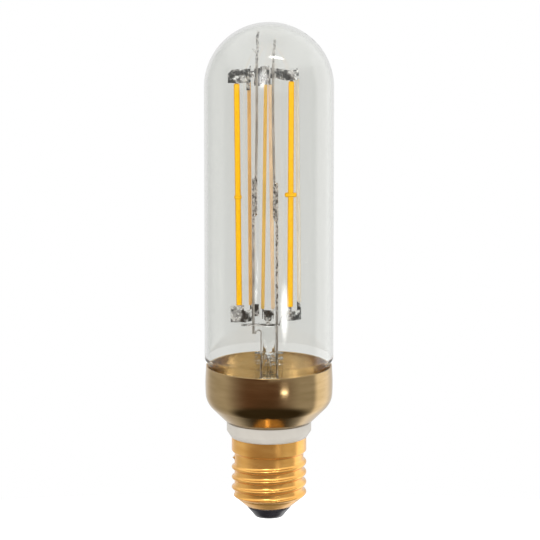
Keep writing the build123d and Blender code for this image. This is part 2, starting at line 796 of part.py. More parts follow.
def bridge_rectifier():
    """Moulded block on the front of the board, bevelled all round its face."""
    width, depth, height = rectifier_size
    block = Box(width, depth, height, align=ON_FRONT)
    block = chamfer(block.faces().sort_by(Axis.Y)[0].edges(), rectifier_bevel)
    place_y = -board_thickness / 2 - seal_gap
    return Pos(-part_spread, place_y, board_foot_z + board_height / 2) * block


def driver_chip():
    """Moulded chip on the front of the board, with a row of feet on each side."""
    width, depth, height = chip_size
    body = Box(width, depth, height, align=ON_FRONT)
    for side in (-1, 1):
        for row in range(chip_rows):
            foot_z = (row - (chip_rows - 1) / 2) * chip_pitch
            foot_x = side * (width / 2 + chip_foot[1] / 2)
            foot = Box(chip_foot[1], chip_foot[2], chip_foot[0], align=ON_FRONT)
            body += Pos(foot_x, 0, foot_z) * foot
    place_y = -board_thickness / 2 - seal_gap
    return Pos(part_spread, place_y, board_foot_z + board_height / 2) * body


def smoothing_capacitor():
    """Can on the back of the board, with a crimped groove near its foot."""
    radius = capacitor_diameter / 2
    can = Cylinder(radius, capacitor_length)
    can = fillet(can.edges().filter_by(GeomType.CIRCLE), capacitor_groove)
    ring = Torus(radius, capacitor_groove)
    can -= Pos(0, 0, capacitor_groove_height - capacitor_length / 2) * ring
    place_y = board_thickness / 2 + seal_gap + radius
    return Pos(-part_spread, place_y, board_foot_z + board_height / 2) * can


def fuse_resistor():
    """Axial resistor between the centre contact's rivet and the front of the board."""
    lead_y = -board_thickness / 2 - seal_gap - lead_radius
    foot_z = contact_proud + contact_sunk + weld_gap
    top_z = board_foot_z + fuse_tail
    rivet_end = lip_z + shell_sheet + slip_fit + insulator_flange + rivet_stand
    body_z = (rivet_end + board_foot_z) / 2
    lead = Cylinder(lead_radius, top_z - foot_z, align=UPRIGHT)
    body = Cylinder(fuse_diameter / 2, fuse_length)
    for end in (-1, 1):
        cap_z = end * (fuse_length - fuse_end_length) / 2
        body += Pos(0, 0, cap_z) * Cylinder(fuse_end_diameter / 2, fuse_end_length)
    return Pos(0, lead_y, foot_z) * lead + Pos(0, lead_y, body_z) * body


def neutral_wire():
    """Wire from the front of the board out to the inside of the cap shell."""
    wire_y = -board_thickness / 2 - seal_gap - lead_radius
    end_x = math.sqrt(shell_bore ** 2 - (wire_y - lead_radius) ** 2) - seal_gap
    turn_z = board_foot_z - neutral_drop
    points = [
        (neutral_x, wire_y, board_foot_z + fuse_tail),
        (neutral_x, wire_y, turn_z),
        (end_x, wire_y, turn_z),
    ]
    return bent_wire(points, lead_diameter, lead_diameter)


def all_pieces():
    cage = filaments()
    pieces = {
        "glass_envelope": glass_envelope(),
        "gold_cup": gold_cup(),
        "neck_collar": neck_collar(),
        "neck_cement": neck_cement(),
        "cap_shell": cap_shell(),
        "cap_insulator": cap_insulator(),
        "centre_contact": centre_contact(),
        "glass_stem": glass_stem(),
        "lead_wire_left": lead_wire_left(),
        "lead_wire_right": lead_wire_right(),
        "support_wire_left_lower": support_wire_left_lower(),
        "support_wire_left_upper": support_wire_left_upper(),
        "support_wire_right_lower": support_wire_right_lower(),
        "support_wire_right_upper": support_wire_right_upper(),
        "top_bracket_left": top_bracket_left(cage),
        "top_bracket_middle": top_bracket_middle(cage),
        "top_bracket_right": top_bracket_right(cage),
        "bottom_bracket_left": bottom_bracket_left(),
        "bottom_bracket_middle": bottom_bracket_middle(cage),
        "bottom_bracket_right": bottom_bracket_right(cage),
        "cross_strip": cross_strip(cage),
        "driver_board": driver_board(),
        "bridge_rectifier": bridge_rectifier(),
        "driver_chip": driver_chip(),
        "smoothing_capacitor": smoothing_capacitor(),
        "fuse_resistor": fuse_resistor(),
        "neutral_wire": neutral_wire(),
    }
    for name, filament in cage.items():
        pieces["filament_strip_" + name] = filament.strip()
        pieces["filament_phosphor_" + name] = filament.phosphor()
    return pieces


os.makedirs("parts", exist_ok=True)
for node, shape in all_pieces().items():
    export_step(shape, f"parts/{node}.step")
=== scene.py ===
import json
import math

import bmesh
import bpy
from mathutils import Matrix, Vector


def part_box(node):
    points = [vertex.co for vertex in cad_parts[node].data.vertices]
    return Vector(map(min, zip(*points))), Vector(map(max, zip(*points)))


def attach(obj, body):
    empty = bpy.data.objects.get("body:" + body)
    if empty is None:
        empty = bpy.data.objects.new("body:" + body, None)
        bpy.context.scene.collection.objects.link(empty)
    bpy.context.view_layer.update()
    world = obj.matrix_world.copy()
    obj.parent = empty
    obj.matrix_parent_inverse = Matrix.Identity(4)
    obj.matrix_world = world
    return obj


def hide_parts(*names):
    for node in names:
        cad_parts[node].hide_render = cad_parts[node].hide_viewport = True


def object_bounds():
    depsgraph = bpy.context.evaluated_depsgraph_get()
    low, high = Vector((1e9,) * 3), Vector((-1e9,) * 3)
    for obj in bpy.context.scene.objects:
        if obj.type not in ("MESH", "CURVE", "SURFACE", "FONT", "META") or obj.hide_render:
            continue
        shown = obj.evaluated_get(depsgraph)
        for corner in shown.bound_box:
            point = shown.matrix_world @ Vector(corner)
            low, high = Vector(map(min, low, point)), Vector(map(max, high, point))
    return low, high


# Looks of the tubular bulb, in metres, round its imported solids.

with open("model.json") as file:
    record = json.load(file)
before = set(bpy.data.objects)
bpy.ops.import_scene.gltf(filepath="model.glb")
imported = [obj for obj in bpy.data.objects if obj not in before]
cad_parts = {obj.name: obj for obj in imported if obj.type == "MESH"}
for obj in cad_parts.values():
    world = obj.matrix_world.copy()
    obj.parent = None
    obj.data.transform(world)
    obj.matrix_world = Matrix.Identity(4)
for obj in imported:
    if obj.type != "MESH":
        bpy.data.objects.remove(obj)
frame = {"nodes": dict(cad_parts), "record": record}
cad_low, cad_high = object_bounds()

# View
VIEW_ELEVATION = math.radians(12.0)
CAMERA_DISTANCE = 1.6
PICTURE_WIDTH = 0.188         # what the picture spans at the bulb's axis
AIM_HEIGHT = 0.0885           # point of the axis in the middle of the picture
AIM_SHIFT = 0.00035
SENSOR_WIDTH = 36.0

# Stage and lamps
FLOOR_DROP = 0.15             # the floor lies this far below the cap
FLOOR_RADIUS = 0.6
FLOOR_SEGMENTS = 96
PAPER_WHITE = (0.85, 0.85, 0.85, 1.0)
PAPER_GLOW = 0.45             # added where the paper is seen straight, so that it shows white
LAMP_DISTANCE = 0.8
LAMP_FADE = 0.35              # share of a lamp's width over which it fades at each side
AMBIENT_LIGHT = 1.12
ROOM_LEFT = 0.6               # how bright polished metal sees the sides of the room
ROOM_RIGHT = 0.5
ROOM_SIDES = (-0.3, 0.3)      # shares of straight right over which left turns into right
WHITE = (1.0, 1.0, 1.0, 1.0)

# Lamps: direction from the bulb, width and height, and radiance
LAMPS = {
    "ceiling_strip": ((0.185, -0.397, 0.899), (0.42, 0.085), 16.0),
    "front_left_strip": ((-0.19, -0.87, 0.46), (0.3, 0.55), 7.0),
    "low_right_lamp": ((0.361, -0.69, -0.178), (0.26, 0.038), 8.0),
}

# What polished metal sees of the room: axis, shares of it where a part starts and is full, and colour
ROOM_PARTS = {
    "window": ((0.6, 0.8, 0.0), 0.55, 0.74, (1.45, 1.45, 1.45, 1.0)),
    "ceiling": ((0.0, 0.0, 1.0), 0.25, 0.7, (1.2, 1.2, 1.2, 1.0)),
    "far_wall": ((0.0, 0.99, -0.1), 0.6, 0.92, (0.85, 0.85, 0.85, 1.0)),
    "camera_side": ((-0.26, -0.95, -0.2), 0.25, 0.97, (0.16, 0.09, 0.06, 1.0)),
    "dark_floor": ((0.0, -0.35, -0.94), 0.5, 0.8, (0.05, 0.04, 0.025, 1.0)),
}
SKYLINE = (-0.1, 0.12)        # shares of straight down over which the camera's side turns dark
LIGHT_BOUNCES = 32            # enough for light to leave the walls of glass inside glass
HALF_A_BOUNCE = 0.5           # a ray that is deeper than this has bounced

# Finish of the meshes
MERGE_DISTANCE = 1e-7
SMOOTH_ANGLE = math.radians(32.0)
FACE_WEIGHT = 100             # how much large faces lead small ones in the shading

EVEN = (1.0, 1.0, 1.0)        # noise that is stretched no way
SOFT_CHANGE = (0.32, 0.68)    # part of a noise's range over which a colour changes
SHARP_CHANGE = (0.44, 0.56)
FLECK_CHANGE = (0.34, 0.6)
FINE_RELIEF = 2e-5            # of a finish that states no other
CRUMPLE_DEPTH = 5e-4          # dents in the hand-bent brackets
CRUMPLE_SPACING = 2.2e-3
CRUMPLE_LEVEL = 4
SEAT_HEIGHT = 3.2e-3          # of the narrowed glass that shows above the cup's rim
FLECK_SCALE = 1700.0          # flecks to the metre
FLECK_STRETCH = (1.0, 1.0, 0.6)
FLECK_FADE = 4e-3
SEAL_COVER = 3e-3             # the pinch reaches about this far above the top of the right lead
SEAL_FADE = 1e-3
WELD_RADIUS = 5e-4
WELD_INSET = 1.5e-3           # from the end of a filament's tab to its weld
STEM_IOR = 1.35
BUBBLE_RADIUS = 2.9e-4
BUBBLE_DENSITY = 1.3e6        # bubbles to the square metre of the two sheets that they lie in
BUBBLE_SPREAD = Vector((8.4e-3, 2.5e-3, 4.0e-3))
BUBBLE_RISE = 5e-4            # from the top of the right lead to the middle of the bubbles
BALL_SIZES = (0.5, 1.2)       # smallest and largest share of the radius of welds and bubbles
BALL_SUBDIVISIONS = 3
SEED = 7

# Phosphor
FACE_ON = ("left_front", "right_front")
BROAD_FACE = 0.93             # share of the normal that tells a broad face from an edge
EDGE_SHADE = 0.82             # of the darker end of an edge's tint
# Tints of each filament's narrow edges and ends, some lighter and some darker: painted light and shade on
# six like coats.
EDGE_TINTS_PAINTED_LIGHT_AND_SHADE = {
    "left_front": (0.92, 0.47, 0.008),
    "left_side": (0.78, 0.47, 0.18),
    "rear_left": (0.82, 0.54, 0.15),
    "rear_right": (0.9, 0.69, 0.47),
    "right_front": (0.92, 0.47, 0.008),
    "right_side": (0.84, 0.8, 0.7),
}

# Pieces that stand for a node with a smooth surface
SMOOTH_NAMES = {
    "neck_collar": "moulded_collar",
    "cap_shell": "rolled_cap",
    "cap_insulator": "insulator_cone",
    "glass_stem": "pressed_stem",
}


# Node trees

def add(tree, kind, inputs=None, **properties):
    """A node of that kind with its properties and some of its inputs set."""
    node = tree.nodes.new(kind)
    for name, value in properties.items():
        setattr(node, name, value)
    for name, value in (inputs or {}).items():
        node.inputs[name].default_value = value
    return node


def object_noise(tree, scale, stretch=EVEN, detail=4.0):
    """Noise on the piece's own coordinates, scaled in features to the metre."""
    place = add(tree, "ShaderNodeTexCoord")
    mapping = add(tree, "ShaderNodeMapping", {"Scale": stretch})
    noise = add(tree, "ShaderNodeTexNoise", {"Scale": scale, "Detail": detail})
    tree.links.new(place.outputs["Object"], mapping.inputs["Vector"])
    tree.links.new(mapping.outputs["Vector"], noise.inputs["Vector"])
    return noise.outputs["Fac"]


def ramp(tree, factor, low, high, span=SOFT_CHANGE):
    """Colour between two ends, over a part of a noise's range."""
    node = add(tree, "ShaderNodeValToRGB")
    for element, place, colour in zip(node.color_ramp.elements, span, (low, high)):
        element.position = place
        element.color = (*colour, 1.0)
    tree.links.new(factor, node.inputs["Fac"])
    return node.outputs["Color"]


def object_height(tree):
    """Height on the piece's own coordinates."""
    place = add(tree, "ShaderNodeTexCoord")
    split = add(tree, "ShaderNodeSeparateXYZ")
    tree.links.new(place.outputs["Object"], split.inputs["Vector"])
    return split.outputs["Z"]


def smooth_step(tree, value, start, end, low, high):
    """Goes softly from low to high while a value goes from start to end."""
    span = {"From Min": start, "From Max": end, "To Min": low, "To Max": high}
    node = add(tree, "ShaderNodeMapRange", span, interpolation_type="SMOOTHSTEP")
    tree.links.new(value, node.inputs["Value"])
    return node.outputs["Result"]


def combined(tree, operation, first, second):
    node = add(tree, "ShaderNodeMath", operation=operation)
    tree.links.new(first, node.inputs[0])
    tree.links.new(second, node.inputs[1])
    return node.outputs[0]


def blended(tree, factor, first, second):
    """Colour between two, each a constant or what another node gives."""
    node = add(tree, "ShaderNodeMix", data_type="RGBA")
    tree.links.new(factor, node.inputs["Factor"])
    for socket, value in zip((node.inputs[6], node.inputs[7]), (first, second)):
        if isinstance(value, tuple):
            socket.default_value = value
        else:
            tree.links.new(value, socket)
    return node.outputs[2]


def finish(
    name, low, high, scale, roughness, stretch=EVEN, bump=0.0, bump_height=FINE_RELIEF,
    span=SOFT_CHANGE, **sockets,
):
    """Material whose colour and roughness wander between two ends, with a faint relief."""
    material = bpy.data.materials.new(name)
    material.use_nodes = True
    tree = material.node_tree
    shader = tree.nodes["Principled BSDF"]
    for socket, value in sockets.items():
        shader.inputs[socket.replace("_", " ").title().replace("Ior", "IOR")].default_value = value
    noise = object_noise(tree, scale, stretch)
    tree.links.new(ramp(tree, noise, low, high, span), shader.inputs["Base Color"])
    spread = add(tree, "ShaderNodeMapRange", {"To Min": roughness[0], "To Max": roughness[1]})
    tree.links.new(noise, spread.inputs["Value"])
    tree.links.new(spread.outputs["Result"], shader.inputs["Roughness"])
    if bump:
        relief = add(tree, "ShaderNodeBump", {"Strength": bump, "Distance": bump_height})
        tree.links.new(noise, relief.inputs["Height"])
        tree.links.new(relief.outputs["Normal"], shader.inputs["Normal"])
    material.diffuse_color = (*high, 1.0)
    return material


def repaint(material, share, colour):
    """Lays another colour over a material's own, by a share that other nodes give."""
    tree = material.node_tree
    base = tree.nodes["Principled BSDF"].inputs["Base Color"]
    own = base.links[0].from_socket
    tree.links.new(blended(tree, share, own, colour), base)


# Materials

def clear_glass():
    return finish(
        "clear_glass", (0.82, 0.825, 0.805), (0.84, 0.845, 0.825), 40.0, (0.0, 0.01),
        stretch=(1.0, 1.0, 0.15), bump=0.05, transmission_weight=1.0, ior=1.5,
    )


def seated_glass():
    """Glass wet with clear glue, which hardly mirrors."""
    return finish(
        "seated_glass", (0.86, 0.86, 0.84), (0.88, 0.88, 0.86), 40.0, (0.0, 0.01),
        stretch=(1.0, 1.0, 0.15), transmission_weight=1.0, ior=1.1,
    )


def stem_glass():
    return finish(
        "stem_glass", (0.93, 0.94, 0.93), (0.97, 0.975, 0.97), 700.0, (0.0, 0.04),
        bump=0.35, bump_height=8e-5, transmission_weight=1.0, ior=STEM_IOR,
    )


def gold_mirror():
    return finish(
        "gold_mirror", (0.46, 0.32, 0.15), (0.54, 0.38, 0.19), 90.0, (0.08, 0.2),
        stretch=(1.0, 1.0, 6.0), bump=0.1, bump_height=4e-5, metallic=1.0,
    )


def gold_satin_painted_light():
    """Unpolished inside of the cup, in a paler gold than the outside: painted light that brightens the
    inside of the cup.
    """
    return finish(
        "gold_satin_painted_light", (0.95, 0.75, 0.48), (1.0, 0.82, 0.56), 160.0, (0.12, 0.26),
        stretch=(1.0, 1.0, 3.0), bump=0.2, bump_height=8e-5, metallic=1.0,
    )


def cap_brass():
    return finish(
        "cap_brass", (0.82, 0.42, 0.1), (0.92, 0.51, 0.14), 120.0, (0.14, 0.26),
        stretch=(1.0, 1.0, 4.0), bump=0.08, bump_height=3e-5, metallic=0.78,
    )


def collar_white():
    return finish("collar_white", (0.53, 0.495, 0.44), (0.58, 0.545, 0.485), 150.0, (0.35, 0.45), bump=0.05)


def cement_grey():
    return finish("cement_grey", (0.5, 0.48, 0.45), (0.66, 0.64, 0.6), 900.0, (0.8, 0.95), bump=0.6)


def insulator_black():
    return finish(
        "insulator_black", (0.012, 0.012, 0.016), (0.03, 0.028, 0.035), 200.0, (0.12, 0.25), bump=0.05,
    )


def contact_tin():
    return finish(
        "contact_tin", (0.5, 0.49, 0.47), (0.68, 0.67, 0.65), 500.0, (0.25, 0.5), bump=0.3, metallic=1.0,
    )


def wire_nickel(name="wire_nickel"):
    return finish(
        name, (0.34, 0.32, 0.29), (0.72, 0.68, 0.63), 420.0, (0.3, 0.5),
        stretch=(1.0, 1.0, 0.35), bump=0.3, metallic=0.6,
    )


def lead_nickel():
    """Bright new wire of the leads, dark copper from where the glass is sealed to it downwards."""
    material = finish(
        "lead_nickel", (0.62, 0.6, 0.57), (0.92, 0.9, 0.87), 600.0, (0.2, 0.4),
        stretch=(1.0, 1.0, 0.5), bump=0.3, metallic=0.5,
    )
    tree = material.node_tree
    copper = ramp(tree, object_noise(tree, FLECK_SCALE), (0.07, 0.035, 0.014), (0.15, 0.075, 0.03))
    seal_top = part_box("lead_wire_right")[1].z + SEAL_COVER
    sealed = smooth_step(tree, object_height(tree), seal_top - SEAL_FADE, seal_top, 1.0, 0.0)
    repaint(material, sealed, copper)
    return material


def scorched_glinting_nickel(side):
    """Wire with black flecks from the heat of its welds and bright flecks that are painted glints, which
    fade out along it.
    """
    material = wire_nickel("scorched_glinting_nickel_" + side)
    tree = material.node_tree
    noise = object_noise(tree, FLECK_SCALE, FLECK_STRETCH)
    # Dark flecks are scorch; the bright ones are painted glints.
    flecks = ramp(tree, noise, (0.07, 0.068, 0.065), (0.88, 0.86, 0.83), FLECK_CHANGE)
    height = object_height(tree)
    low, high = scorch_and_glint_span(side)
    rise = smooth_step(tree, height, low - FLECK_FADE, low, 0.0, 1.0)
    fall = smooth_step(tree, height, high, high + FLECK_FADE, 1.0, 0.0)
    tail_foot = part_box("top_bracket_middle")[1].z
    tail = smooth_step(tree, height, tail_foot, tail_foot + FLECK_FADE, 0.0, 1.0)
    scorch_and_glint = combined(tree, "MAXIMUM", combined(tree, "MULTIPLY", rise, fall), tail)
    repaint(material, scorch_and_glint, flecks)
    return material


def weld_bright():
    return finish(
        "weld_bright", (0.5, 0.49, 0.47), (0.9, 0.89, 0.87), 1500.0, (0.1, 0.3), bump=0.4, metallic=1.0,
    )


def air_bubble():
    """Air in glass: light bends the other way at its wall."""
    return finish(
        "air_bubble", (0.97, 0.97, 0.97), (1.0, 1.0, 1.0), 900.0, (0.0, 0.02),
        transmission_weight=1.0, ior=1 / STEM_IOR,
    )


def bracket_steel():
    # Its near-black and near-white patches are partly uneven tone and partly painted reflections and glints
    # of crumpled shiny sheet.
    return finish(
        "bracket_steel", (0.08, 0.08, 0.075), (0.98, 0.98, 0.96), 420.0, (0.16, 0.36), bump=0.6,
        bump_height=2.5e-4, span=SHARP_CHANGE, metallic=0.7,
    )


def phosphor_yellow():
    """Unlit phosphor glows a little in daylight; here that glow is painted light, an even emission that
    brightens the coat whatever falls on it, so it looks brighter than paint.
    """
    return finish(
        "phosphor_yellow", (0.93, 0.47, 0.002), (0.98, 0.55, 0.004), 900.0, (0.5, 0.65), bump=0.2,
        specular_ior_level=0.1, emission_color=(1.0, 0.53, 0.0, 1.0), emission_strength=0.26,
    )


def painted_phosphor_edge(name, tint):
    # The edge's tint, its own for each filament, is painted light and shade, and its emission is a painted
    # glow.
    darker = tuple(EDGE_SHADE * part for part in tint)
    return finish(
        "painted_phosphor_edge_" + name, darker, tint, 500.0, (0.5, 0.65), stretch=(1.0, 1.0, 0.3), bump=0.2,
        specular_ior_level=0.1, emission_color=(*tint, 1.0), emission_strength=0.15,
    )


def board_green():
    return finish("board_green", (0.05, 0.2, 0.1), (0.09, 0.28, 0.15), 600.0, (0.4, 0.6), bump=0.2)


def chip_black():
    return finish("chip_black", (0.02, 0.02, 0.022), (0.04, 0.04, 0.044), 900.0, (0.5, 0.7), bump=0.3)


def capacitor_sleeve():
    return finish("capacitor_sleeve", (0.02, 0.03, 0.09), (0.04, 0.055, 0.13), 300.0, (0.25, 0.4), bump=0.1)


def fuse_ceramic():
    return finish("fuse_ceramic", (0.3, 0.4, 0.33), (0.42, 0.5, 0.44), 500.0, (0.4, 0.6), bump=0.2)


# Pieces

def smooth_copy(node, name, material):
    """Merged copy of a CAD node with smooth shading, which stands for it."""
    mesh = merged_mesh(node)
    mesh.materials.clear()
    mesh.materials.append(material)
    mesh.polygons.foreach_set("material_index", [0] * len(mesh.polygons))
    mesh.shade_smooth()
    mesh.set_sharp_from_angle(angle=SMOOTH_ANGLE)
    piece = bpy.data.objects.new(name, mesh)
    bpy.context.scene.collection.objects.link(piece)
    weigh_normals(piece)
    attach(piece, "root")
    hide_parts(node)
    return piece


def weigh_normals(piece):
    """Large faces set the shading at their edges, so that long walls stay straight in reflections."""
    modifier = piece.modifiers.new("weighted", "WEIGHTED_NORMAL")
    modifier.mode = "FACE_AREA_WITH_ANGLE"
    modifier.weight = FACE_WEIGHT
    modifier.keep_sharp = True
    plain_mesh(piece)


def plain_mesh(piece):
    """Keeps what the piece's modifiers make as its own mesh."""
    bpy.context.view_layer.update()
    evaluated = piece.evaluated_get(bpy.context.evaluated_depsgraph_get())
    made = bpy.data.meshes.new_from_object(evaluated)
    made.name = piece.name
    piece.modifiers.clear()
    piece.data = made


def coated_filament(side, face_material):
    """Phosphor coat: yellow on its two broad faces, tinted on its narrow edges and ends, where each
    filament's own tint and glow are painted light and shade.
    """
    node = "filament_phosphor_" + side
    piece = smooth_copy(node, "filament_coat_" + side, face_material)
    piece.data.materials.append(painted_phosphor_edge(side, EDGE_TINTS_PAINTED_LIGHT_AND_SHADE[side]))
    broad = 1 if side in FACE_ON else 0
    for face in piece.data.polygons:
        if abs(face.normal[broad]) < BROAD_FACE:
            face.material_index = 1
    return piece


def glass_piece(clear):
    """Blown glass, with glue on its lower end, where it is seated in the cup."""
    piece = smooth_copy("glass_envelope", "blown_glass", clear)
    piece.data.materials.append(seated_glass())
    seat_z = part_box("gold_cup")[1].z + SEAT_HEIGHT
    for face in piece.data.polygons:
        if face.center.z < seat_z:
            face.material_index = 1
    piece.visible_shadow = False


def gold_cup_piece(polished):
    """The cup, polished outside and satin where its wall faces the axis, in a paler gold there that is
    painted light.
    """
    piece = smooth_copy("gold_cup", "polished_cup", polished)
    piece.data.materials.append(gold_satin_painted_light())
    for face in piece.data.polygons:
        if face.normal.x * face.center.x + face.normal.y * face.center.y < 0:
            face.material_index = 1


def rule_tree(name, **inputs):
    """Empty geometry tree with named inputs, a geometry input and a geometry output."""
    tree = bpy.data.node_groups.new(name, "GeometryNodeTree")
    tree.is_modifier = True
    tree.interface.new_socket("Geometry", in_out="INPUT", socket_type="NodeSocketGeometry")
    for label, kind in inputs.items():
        tree.interface.new_socket(label, in_out="INPUT", socket_type="NodeSocket" + kind)
    tree.interface.new_socket("Geometry", in_out="OUTPUT", socket_type="NodeSocketGeometry")
    return tree, add(tree, "NodeGroupInput").outputs


def close_tree(tree, geometry, material):
    """Ends a tree with real geometry in one material."""
    real = add(tree, "GeometryNodeRealizeInstances")
    dressed = add(tree, "GeometryNodeSetMaterial")
    end = add(tree, "NodeGroupOutput")
    tree.links.new(geometry, real.inputs["Geometry"])
    tree.links.new(real.outputs["Geometry"], dressed.inputs["Geometry"])
    tree.links.new(material, dressed.inputs["Material"])
    tree.links.new(dressed.outputs["Geometry"], end.inputs["Geometry"])


def apply_rule(mesh, name, tree, **values):
    """Runs a geometry tree on a mesh and gives the plain object that comes out."""
    piece = bpy.data.objects.new(name, mesh)
    bpy.context.scene.collection.objects.link(piece)
    modifier = piece.modifiers.new(name, "NODES")
    modifier.node_group = tree
    for item in tree.interface.items_tree:
        if item.in_out == "INPUT" and item.name in values:
            modifier[item.identifier] = values[item.name]
    plain_mesh(piece)
    piece.data.shade_smooth()
    piece.data.set_sharp_from_angle(angle=SMOOTH_ANGLE)
    return piece


def crumple_rule():
    """Sheet cut fine and pushed to and fro by noise, so that both of its sides move together."""
    tree, given = rule_tree(
        "crumpled_sheet", Depth="Float", Scale="Float", Level="Int", Material="Material",
    )
    fine = add(tree, "GeometryNodeSubdivideMesh")
    place = add(tree, "GeometryNodeInputPosition")
    noise = add(tree, "ShaderNodeTexNoise", {"Detail": 2.0})
    centred = add(tree, "ShaderNodeVectorMath", {1: (0.5, 0.5, 0.5)}, operation="SUBTRACT")
    push = add(tree, "ShaderNodeVectorMath", operation="SCALE")
    moved = add(tree, "GeometryNodeSetPosition")
    tree.links.new(given["Geometry"], fine.inputs["Mesh"])
    tree.links.new(given["Level"], fine.inputs["Level"])
    tree.links.new(place.outputs["Position"], noise.inputs["Vector"])
    tree.links.new(given["Scale"], noise.inputs["Scale"])
    tree.links.new(noise.outputs["Color"], centred.inputs[0])
    tree.links.new(centred.outputs["Vector"], push.inputs[0])
    tree.links.new(given["Depth"], push.inputs["Scale"])
    tree.links.new(fine.outputs["Mesh"], moved.inputs["Geometry"])
    tree.links.new(push.outputs["Vector"], moved.inputs["Offset"])
    close_tree(tree, moved.outputs["Geometry"], given["Material"])
    return tree


def merged_mesh(node):
    """Copy of a CAD node's mesh with its doubled points joined."""
    mesh = frame["nodes"][node].data.copy()
    work = bmesh.new()
    work.from_mesh(mesh)
    bmesh.ops.remove_doubles(work, verts=work.verts, dist=MERGE_DISTANCE)
    work.to_mesh(mesh)
    work.free()
    return mesh


def crumpled_bracket(node, tree, material):
    """Hand-bent bracket with dents, which stands for the plain one."""
    piece = apply_rule(
        merged_mesh(node), "bent_" + node, tree, Depth=CRUMPLE_DEPTH, Scale=1 / CRUMPLE_SPACING,
        Level=CRUMPLE_LEVEL, Material=material,
    )
    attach(piece, "root")
    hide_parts(node)


def scatter_rule(name, on_faces):
    """Small balls on points, or strewn over faces, each of its own size."""
    tree, given = rule_tree(name, Radius="Float", Density="Float", Seed="Int", Material="Material")
    ball = add(tree, "GeometryNodeMeshIcoSphere", {"Subdivisions": BALL_SUBDIVISIONS})
    size = add(tree, "FunctionNodeRandomValue", data_type="FLOAT")
    size.inputs[2].default_value, size.inputs[3].default_value = BALL_SIZES
    spots = add(tree, "GeometryNodeInstanceOnPoints")
    tree.links.new(given["Radius"], ball.inputs["Radius"])
    tree.links.new(given["Seed"], size.inputs["Seed"])
    points = given["Geometry"]
    if on_faces:
        strewn = add(tree, "GeometryNodeDistributePointsOnFaces")
        tree.links.new(points, strewn.inputs["Mesh"])
        tree.links.new(given["Density"], strewn.inputs["Density"])
        tree.links.new(given["Seed"], strewn.inputs["Seed"])
        points = strewn.outputs["Points"]
    tree.links.new(points, spots.inputs["Points"])
    tree.links.new(ball.outputs["Mesh"], spots.inputs["Instance"])
    tree.links.new(size.outputs[1], spots.inputs["Scale"])
    close_tree(tree, spots.outputs["Instances"], given["Material"])
    return tree


def tab_weld(node, end):
    """Middle of a filament strip's bare tab, at its top (1) or its foot (-1)."""
    mesh = frame["nodes"][node].data
    heights = [end * vertex.co.z for vertex in mesh.vertices]
    tip = [vertex.co for vertex in mesh.vertices if end * vertex.co.z > max(heights) - WELD_INSET]
    middle = sum(tip, Vector()) / len(tip)
    return middle - Vector((0.0, 0.0, end * WELD_INSET))


def scorch_and_glint_span(side):
    """Heights between which a support wire is scorched and painted with glints: its lap, and on the right
    down to the feet.
    """
    upper_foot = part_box("support_wire_" + side + "_upper")[0].z
    lower_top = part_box("support_wire_" + side + "_lower")[1].z
    if side == "right":
        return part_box("cross_strip")[1].z, lower_top
    return upper_foot - FLECK_FADE, lower_top


def lap_welds(side):
    """Welds at both ends of the lap between the two lengths of a support wire."""
    lower_low, lower_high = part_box("support_wire_" + side + "_lower")
    upper_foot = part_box("support_wire_" + side + "_upper")[0].z
    seam_x = lower_high.x if side == "left" else lower_low.x
    return [Vector((seam_x, -WELD_RADIUS / 2, height)) for height in (upper_foot, lower_high.z)]


def weld_spots():
    """Beads of molten metal where tabs, brackets and wires are joined."""
    strips = [name for name in frame["nodes"] if name.startswith("filament_strip_")]
    places = [tab_weld(name, end) for name in strips for end in (1, -1)]
    places += lap_welds("left") + lap_welds("right")
    mesh = bpy.data.meshes.new("weld_places")
    mesh.from_pydata(places, [], [])
    piece = apply_rule(
        mesh, "weld_spots", scatter_rule("welds", False), Radius=WELD_RADIUS, Seed=SEED,
        Material=weld_bright(),
    )
    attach(piece, "root")


def pinch_bubbles():
    """Air caught in the glass, before and behind the wires, where the stem was pressed flat."""
    lead_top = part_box("lead_wire_right")[1].z
    middle = Vector((0.0, 0.0, lead_top + BUBBLE_RISE))
    work = bmesh.new()
    bmesh.ops.create_cube(work, size=1.0)
    sides = [face for face in work.faces if abs(face.normal.y) < BROAD_FACE]
    bmesh.ops.delete(work, geom=sides, context="FACES")
    bmesh.ops.scale(work, verts=work.verts, vec=BUBBLE_SPREAD)
    bmesh.ops.translate(work, verts=work.verts, vec=middle)
    mesh = bpy.data.meshes.new("pinch_faces")
    work.to_mesh(mesh)
    work.free()
    piece = apply_rule(
        mesh, "pinch_bubbles", scatter_rule("bubbles", True), Radius=BUBBLE_RADIUS, Density=BUBBLE_DENSITY,
        Seed=SEED, Material=air_bubble(),
    )
    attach(piece, "root")


def drawn_wire(node, material):
    smooth_copy(node, "drawn_" + node, material)


def smooth_piece(node, slot, material):
    piece = smooth_copy(node, SMOOTH_NAMES[node], material)
    piece.visible_shadow = "glass" not in slot


def dress(node, material):
    """Gives a CAD node that stays in view its material."""
    mesh = frame["nodes"][node].data
    mesh.materials.clear()
    mesh.materials.append(material)


def bulb_finishes():
    """The finish of each material slot in the record."""
    return {
        "clear_glass": clear_glass(),
        "stem_glass": stem_glass(),
        "gold_mirror": gold_mirror(),
        "collar_white": collar_white(),
        "cement_grey": cement_grey(),
        "cap_brass": cap_brass(),
        "insulator_black": insulator_black(),
        "contact_tin": contact_tin(),
        "wire_nickel": wire_nickel(),
        "bracket_steel": bracket_steel(),
        "phosphor_yellow": phosphor_yellow(),
        "board_green": board_green(),
        "chip_black": chip_black(),
        "capacitor_sleeve": capacitor_sleeve(),
        "fuse_ceramic": fuse_ceramic(),
    }


